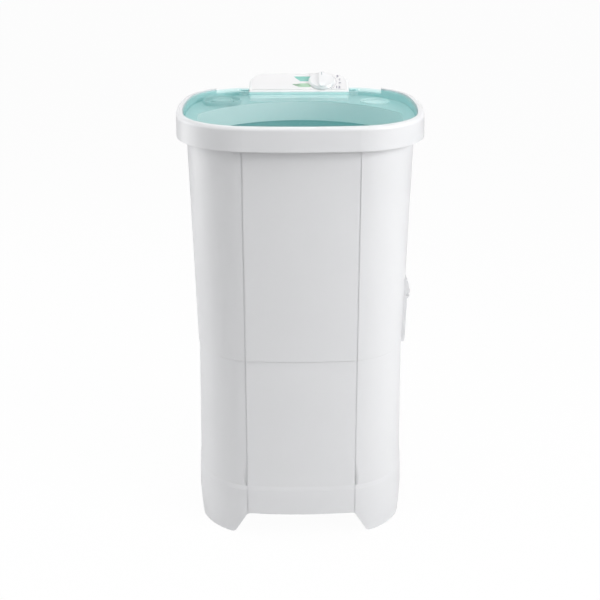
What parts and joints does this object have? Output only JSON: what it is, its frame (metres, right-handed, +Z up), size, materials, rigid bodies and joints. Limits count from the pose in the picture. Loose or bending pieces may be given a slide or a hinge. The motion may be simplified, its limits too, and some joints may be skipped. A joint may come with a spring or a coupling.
{
  "type": "washing machine",
  "caption": "Slim top-loading washing machine in moulded plastic with a hinged see-through lid, a rear control box with one dial, a deep tub and a belt-driven wash plate.",
  "frame": {"origin": "on the floor under the middle of the machine's outline", "axes": "+Z up, +Y towards the control box at the back, +X to the right as seen from the front"},
  "size_m": [0.5, 0.45, 0.9355],
  "materials": {
    "cabinet_plastic": "smooth injection-moulded plastic with a fine satin grain",
    "deck_plastic": "smooth injection-moulded plastic",
    "tub_plastic": "smooth moulded plastic",
    "lid_plastic": "translucent tinted plastic, glossy",
    "control_plastic": "smooth plastic",
    "fascia_film": "printed film, satin",
    "knob_plastic": "smooth plastic",
    "foot_rubber": "matt rubber",
    "seal_rubber": "matt rubber",
    "grey_plastic": "matt moulded plastic",
    "filter_plastic": "moulded plastic",
    "wash_plate_plastic": "smooth moulded plastic",
    "zinc_steel": "zinc plated",
    "shaft_steel": "ground steel",
    "platform_steel": "painted pressed steel",
    "cast_alloy": "cast, unpolished",
    "belt_rubber": "matt rubber with fabric cover",
    "capacitor_can": "smooth plastic can",
    "bush_bronze": "sintered bronze"
  },
  "bodies": {
    "cabinet": {"upper_cabinet": "cabinet_plastic", "lower_cabinet": "cabinet_plastic", "base_frame": "cabinet_plastic", "foot_pads": "foot_rubber", "rim_frame": "cabinet_plastic", "top_deck": "deck_plastic", "wash_tub": "tub_plastic", "softener_cup": "deck_plastic", "softener_cap": "deck_plastic", "soap_dish": "deck_plastic", "control_housing": "control_plastic", "control_fascia": "fascia_film", "timer_body": "grey_plastic", "hinge_pins": "shaft_steel", "bearing_housing": "grey_plastic", "shaft_bushes": "bush_bronze", "shaft_seal": "seal_rubber", "drive_platform": "platform_steel", "platform_posts": "grey_plastic", "post_screws": "zinc_steel", "motor_body": "cast_alloy", "motor_bolts": "zinc_steel", "capacitor": "capacitor_can", "capacitor_strap": "grey_plastic", "drain_fitting": "grey_plastic", "drain_pipe": "grey_plastic", "drain_outlet": "grey_plastic", "rear_cover": "cabinet_plastic", "cover_screws": "zinc_steel", "cord_gland": "grey_plastic", "side_keeper": "cabinet_plastic", "drive_belt": "belt_rubber"},
    "lid": {"lid": "lid_plastic"},
    "timer_knob": {"timer_knob": "knob_plastic", "timer_shaft": "shaft_steel"},
    "agitator": {"wash_plate": "wash_plate_plastic", "plate_screw": "zinc_steel", "plate_cap": "wash_plate_plastic", "agitator_shaft": "shaft_steel", "large_pulley": "cast_alloy"},
    "motor_rotor": {"motor_shaft": "shaft_steel", "motor_pulley": "zinc_steel"},
    "lint_filter": {"lint_filter": "filter_plastic"}
  },
  "joints": [
    {"name": "lid_hinge", "type": "hinge", "parent": "cabinet", "child": "lid", "pos_m": [0, 0.198, 0.8955], "axis": [-1, 0, 0], "range_deg": [0, 100]},
    {"name": "knob_turn", "type": "hinge", "parent": "cabinet", "child": "timer_knob", "pos_m": [0.05, 0.18024, 0.91592], "axis": [0, 0.4305, -0.9026], "range_deg": [0, 300]},
    {"name": "wash_plate_spin", "type": "hinge", "parent": "cabinet", "child": "agitator", "pos_m": [0, -0.033, 0.44], "axis": [0, 0, 1], "continuous": true},
    {"name": "motor_spin", "type": "hinge", "parent": "cabinet", "child": "motor_rotor", "pos_m": [0, 0.097, 0.3], "axis": [0, 0, 1], "continuous": true},
    {"name": "filter_lift", "type": "slide", "parent": "cabinet", "child": "lint_filter", "axis": [0, 0, 1], "range_m": [0, 0.012]}
  ],
  "couplings": [
    {"joint": "motor_spin", "follows": "wash_plate_spin", "ratio": 4.5714}
  ]
}
